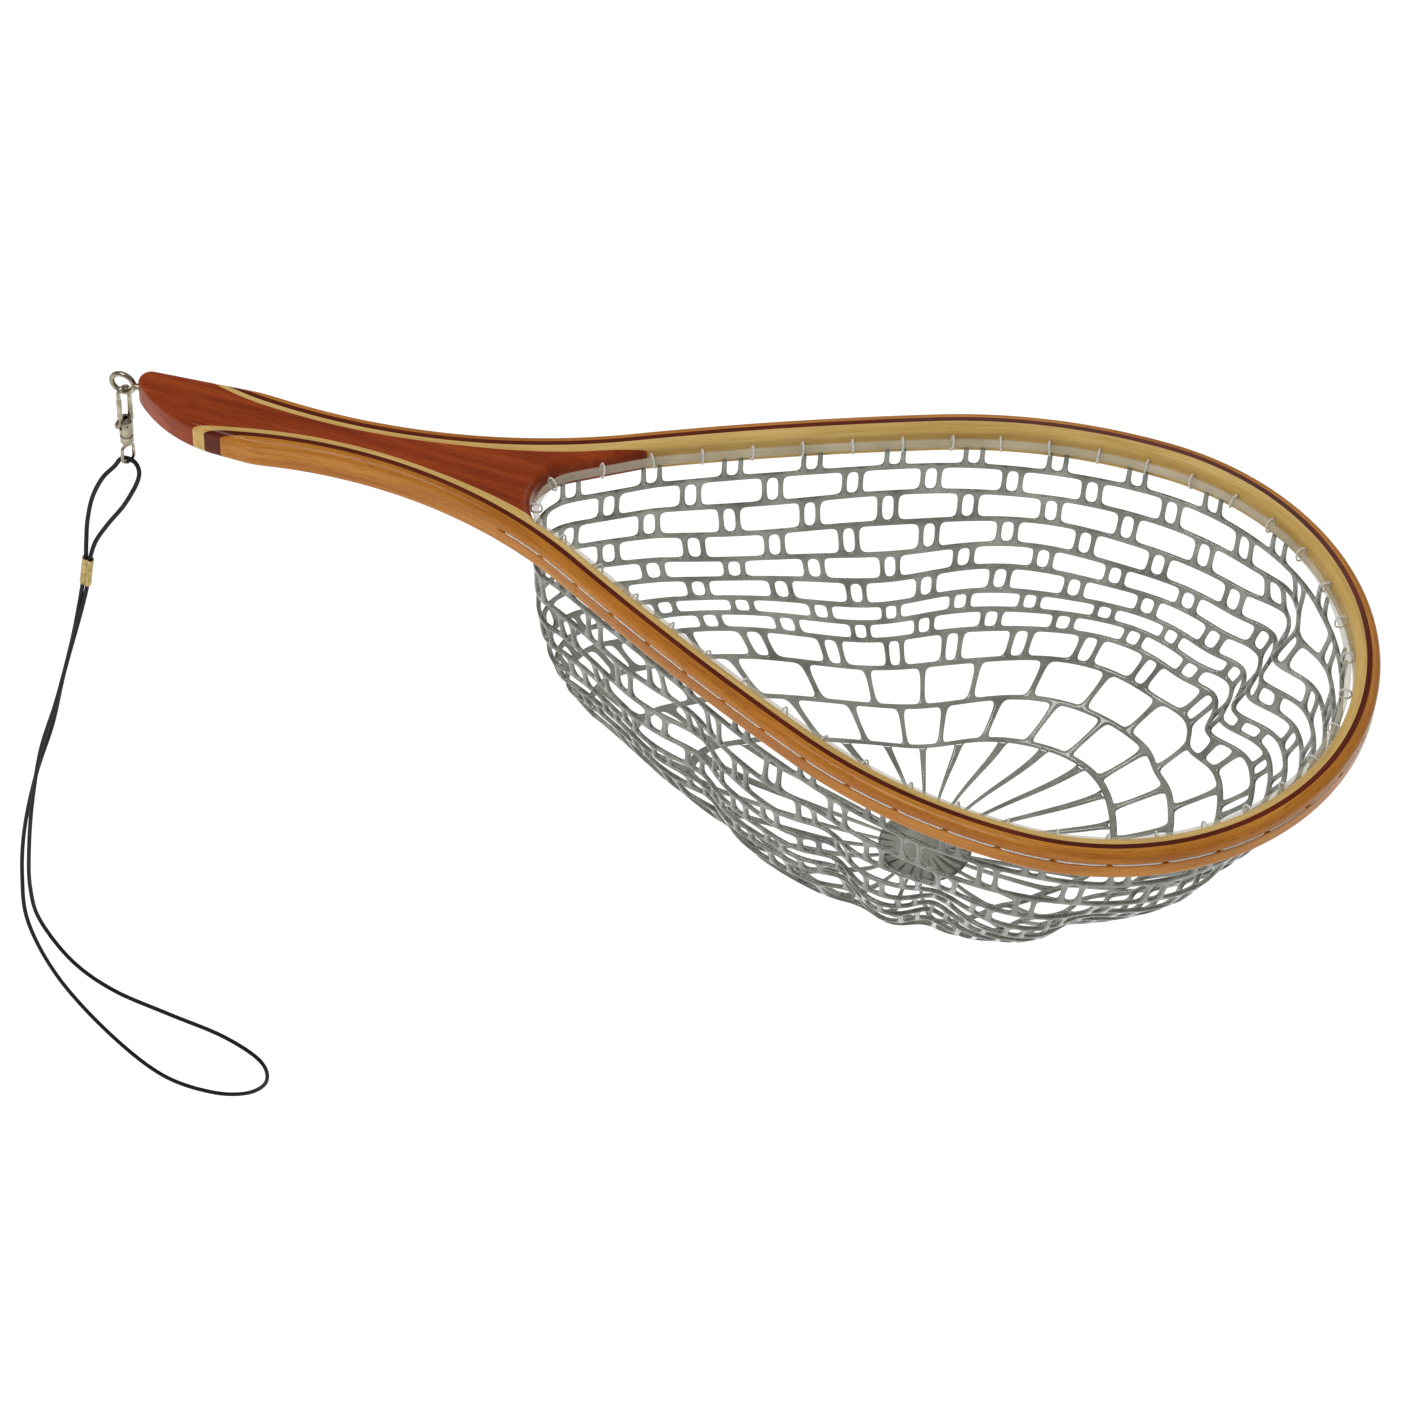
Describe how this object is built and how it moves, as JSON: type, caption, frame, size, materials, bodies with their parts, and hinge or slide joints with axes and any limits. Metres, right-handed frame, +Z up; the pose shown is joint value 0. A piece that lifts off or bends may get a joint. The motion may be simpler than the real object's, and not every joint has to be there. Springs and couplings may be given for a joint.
{
  "type": "landing net",
  "caption": "Teardrop hand landing net with a laminated wooden hoop and handle, a deep clear rubber net laced round the rim, and a trigger snap with an elastic wrist lanyard.",
  "frame": {"origin": "middle of the grip: the handle's waist line, half-way through the frame's height", "axes": "+X along the net from the butt to the hoop's tip, +Z up out of the net's mouth, +Y to the side without the palm swell"},
  "size_m": [0.6717, 0.2568, 0.5424],
  "materials": {
    "mahogany": "gloss lacquer",
    "pale_wood": "gloss lacquer",
    "dark_wood": "gloss lacquer",
    "amber_wood": "gloss lacquer",
    "lacing": "matte",
    "clear_rubber": "gloss",
    "nickel": "polished",
    "spring_steel": "satin",
    "elastic": "matte",
    "brass": "satin"
  },
  "bodies": {
    "frame": {"handle_core": "mahogany", "inner_strip": "pale_wood", "middle_strip": "dark_wood", "outer_strip": "amber_wood", "lacing_cord": "lacing", "rubber_net": "clear_rubber", "screw_eye": "nickel"},
    "snap": {"snap_body": "nickel", "gate_pin": "spring_steel", "gate_spring": "spring_steel"},
    "gate": {"gate_lever": "nickel"},
    "lanyard": {"swivel_ring": "nickel", "lanyard_cord": "elastic", "ferrule": "brass"}
  },
  "joints": [
    {"name": "snap_swing", "type": "hinge", "parent": "frame", "child": "snap", "pos_m": [-0.10459, -0.002, -0.0055], "axis": [1, 0, 0], "range_deg": [-35, 35]},
    {"name": "gate_swing", "type": "hinge", "parent": "snap", "child": "gate", "pos_m": [-0.10539, -0.00339, -0.0255], "axis": [-0.866, 0.5, 0], "range_deg": [0, 12], "stiffness_Nm_per_rad": 0.02, "springref_deg": -11.46, "deforming": ["gate_spring"]},
    {"name": "swivel_spin", "type": "hinge", "parent": "snap", "child": "lanyard", "pos_m": [-0.10459, -0.002, -0.035], "axis": [0, 0, 1], "continuous": true}
  ]
}
